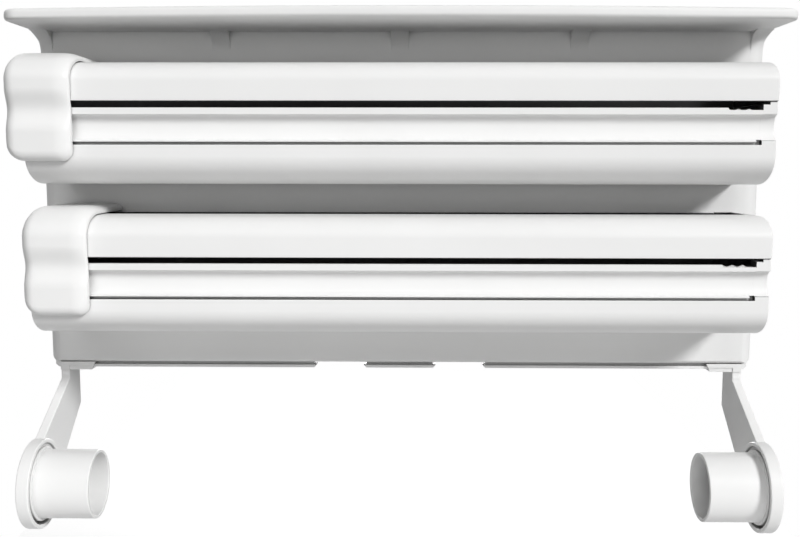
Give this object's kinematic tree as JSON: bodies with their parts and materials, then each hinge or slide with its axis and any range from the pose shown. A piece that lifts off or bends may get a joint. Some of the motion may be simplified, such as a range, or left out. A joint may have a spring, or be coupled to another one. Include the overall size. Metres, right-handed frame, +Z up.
{
  "type": "kitchen wrap dispenser",
  "caption": "White plastic wall rack with a bowed shelf, lidded wrap boxes with toothed cutter bars and slide-off end caps, and sliding arms that carry a paper towel roll.",
  "frame": {"origin": "on the wall plane, midway between the round entries of the panel's two keyholes", "axes": "+Y into the wall, so the front looks along -Y; +X to the right of someone facing it; +Z up"},
  "size_m": [0.39, 0.0848, 0.2622],
  "materials": {
    "panel_plastic": "satin white",
    "white_plastic": "glossy white",
    "screw_steel": "zinc plated"
  },
  "bodies": {
    "rack": {"back_panel": "panel_plastic", "upper_trough": "white_plastic", "lower_trough": "white_plastic", "upper_lid": "white_plastic", "lower_lid": "white_plastic", "upper_cutter_bar": "white_plastic", "lower_cutter_bar": "white_plastic", "upper_trough_screws": "screw_steel", "lower_trough_screws": "screw_steel", "upper_lid_screws": "screw_steel", "lower_lid_screws": "screw_steel"},
    "upper_cap": {"upper_end_cap": "white_plastic"},
    "lower_cap": {"lower_end_cap": "white_plastic"},
    "left_arm": {"left_towel_arm": "white_plastic"},
    "right_arm": {"right_towel_arm": "white_plastic"}
  },
  "joints": [
    {"name": "upper_cap_slide", "type": "slide", "parent": "rack", "child": "upper_cap", "axis": [-1, 0, 0], "range_m": [-0.0055, 0.0305]},
    {"name": "lower_cap_slide", "type": "slide", "parent": "rack", "child": "lower_cap", "axis": [-1, 0, 0], "range_m": [0, 0.036]},
    {"name": "left_arm_slide", "type": "slide", "parent": "rack", "child": "left_arm", "axis": [1, 0, 0], "range_m": [0, 0.12]},
    {"name": "right_arm_slide", "type": "slide", "parent": "rack", "child": "right_arm", "axis": [-1, 0, 0], "range_m": [0, 0.12]}
  ]
}
